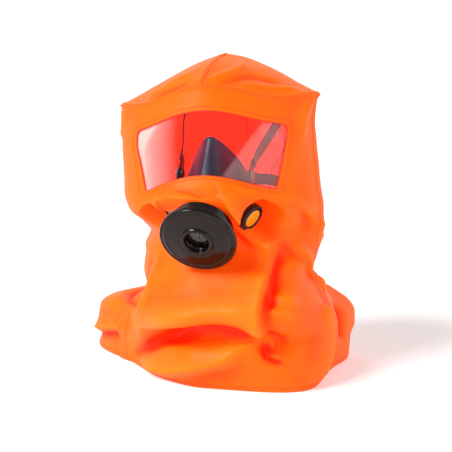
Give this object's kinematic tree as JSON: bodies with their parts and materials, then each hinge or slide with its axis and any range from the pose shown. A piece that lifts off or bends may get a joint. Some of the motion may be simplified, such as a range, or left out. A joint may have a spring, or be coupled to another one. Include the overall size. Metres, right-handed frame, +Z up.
{
  "type": "smoke hood",
  "caption": "Escape hood of coated fabric with a wide clear visor, inner half mask, push-in disc filter, side breathing valves and a head harness.",
  "frame": {"origin": "middle of the whole hood's outline, on the surface that its hem rests on", "axes": "+Z up to the peak, -Y the way the face looks, +X to the right of someone who faces the visor"},
  "size_m": [0.4015, 0.3548, 0.462],
  "materials": {
    "coated_fabric": "smooth flame-retardant coated fabric, satin sheen",
    "clear_sheet": "clear flexible film with a soft shine",
    "black_plastic": "moulded nylon, fine matte grain",
    "filter_plastic": "glossy moulded shell",
    "guard_mesh": "dark brown open mesh",
    "pad_felt": "non-woven dust pad",
    "pleat_paper": "folded glass-fibre paper",
    "carbon_grain": "packed granules",
    "screen_steel": "perforated sheet",
    "soft_rubber": "black elastomer",
    "mask_rubber": "dark blue moulded elastomer, satin",
    "flap_silicone": "pale translucent silicone",
    "clamp_steel": "thin rolled band",
    "orange_disc": "coloured disc",
    "grey_plastic": "grey moulded cap",
    "strap_webbing": "woven elastic webbing"
  },
  "bodies": {
    "hood": {"front_panel": "coated_fabric", "rear_left_panel": "coated_fabric", "rear_right_panel": "coated_fabric", "visor": "clear_sheet", "port_clamp": "black_plastic", "mask_body": "mask_rubber", "filter_socket": "black_plastic", "inhalation_seat": "grey_plastic", "flap_button": "black_plastic", "harness_saddle": "black_plastic", "stud_cap_left": "grey_plastic", "stud_cap_right": "grey_plastic", "valve_nozzle_left": "black_plastic", "valve_nozzle_right": "black_plastic", "valve_clamp_left": "clamp_steel", "valve_clamp_right": "clamp_steel", "valve_cover_left": "black_plastic", "valve_cover_right": "black_plastic", "cover_disc_left": "orange_disc", "cover_disc_right": "orange_disc"},
    "filter": {"filter_front_cover": "filter_plastic", "filter_rear_shell": "filter_plastic", "inlet_guard": "guard_mesh", "prefilter_pad": "pad_felt", "particle_pleats": "pleat_paper", "carbon_bed": "carbon_grain", "carbon_screens": "screen_steel", "neck_o_ring": "soft_rubber"},
    "inhalation_flap": {"inhalation_flap": "flap_silicone"},
    "exhalation_flap_left": {"exhalation_flap_left": "flap_silicone"},
    "exhalation_flap_right": {"exhalation_flap_right": "flap_silicone"},
    "harness": {"yoke_left": "black_plastic", "yoke_right": "black_plastic", "upper_strap_left": "strap_webbing", "upper_strap_right": "strap_webbing", "neck_strap_left": "strap_webbing", "neck_strap_right": "strap_webbing", "crown_cradle": "strap_webbing", "neck_clasp": "black_plastic", "retainer_cord": "soft_rubber"},
    "adjuster_left": {"adjuster_left": "black_plastic"},
    "adjuster_right": {"adjuster_right": "black_plastic"}
  },
  "joints": [
    {"name": "filter_pull", "type": "slide", "parent": "hood", "child": "filter", "axis": [0, -0.848, -0.5299], "range_m": [0, 0.022]},
    {"name": "inhalation_lift", "type": "slide", "parent": "hood", "child": "inhalation_flap", "axis": [0, 0.848, 0.5299], "range_m": [0, 0.002], "stiffness_N_per_m": 30, "springref_m": -0.002},
    {"name": "exhalation_lift_left", "type": "slide", "parent": "hood", "child": "exhalation_flap_left", "axis": [-0.8187, -0.3308, -0.4695], "range_m": [0, 0.002], "stiffness_N_per_m": 30, "springref_m": -0.002},
    {"name": "exhalation_lift_right", "type": "slide", "parent": "hood", "child": "exhalation_flap_right", "axis": [0.8187, -0.3308, -0.4695], "range_m": [0, 0.002], "stiffness_N_per_m": 30, "springref_m": -0.002},
    {"name": "harness_swing", "type": "hinge", "parent": "hood", "child": "harness", "pos_m": [0.03189, -0.0606, 0.294], "axis": [1, 0, 0], "range_deg": [-5, 5]},
    {"name": "adjuster_slide_left", "type": "slide", "parent": "harness", "child": "adjuster_left", "axis": [-0.124, 0.9923, 0], "range_m": [-0.008, 0.008]},
    {"name": "adjuster_slide_right", "type": "slide", "parent": "harness", "child": "adjuster_right", "axis": [0.124, 0.9923, 0], "range_m": [-0.008, 0.008]}
  ]
}
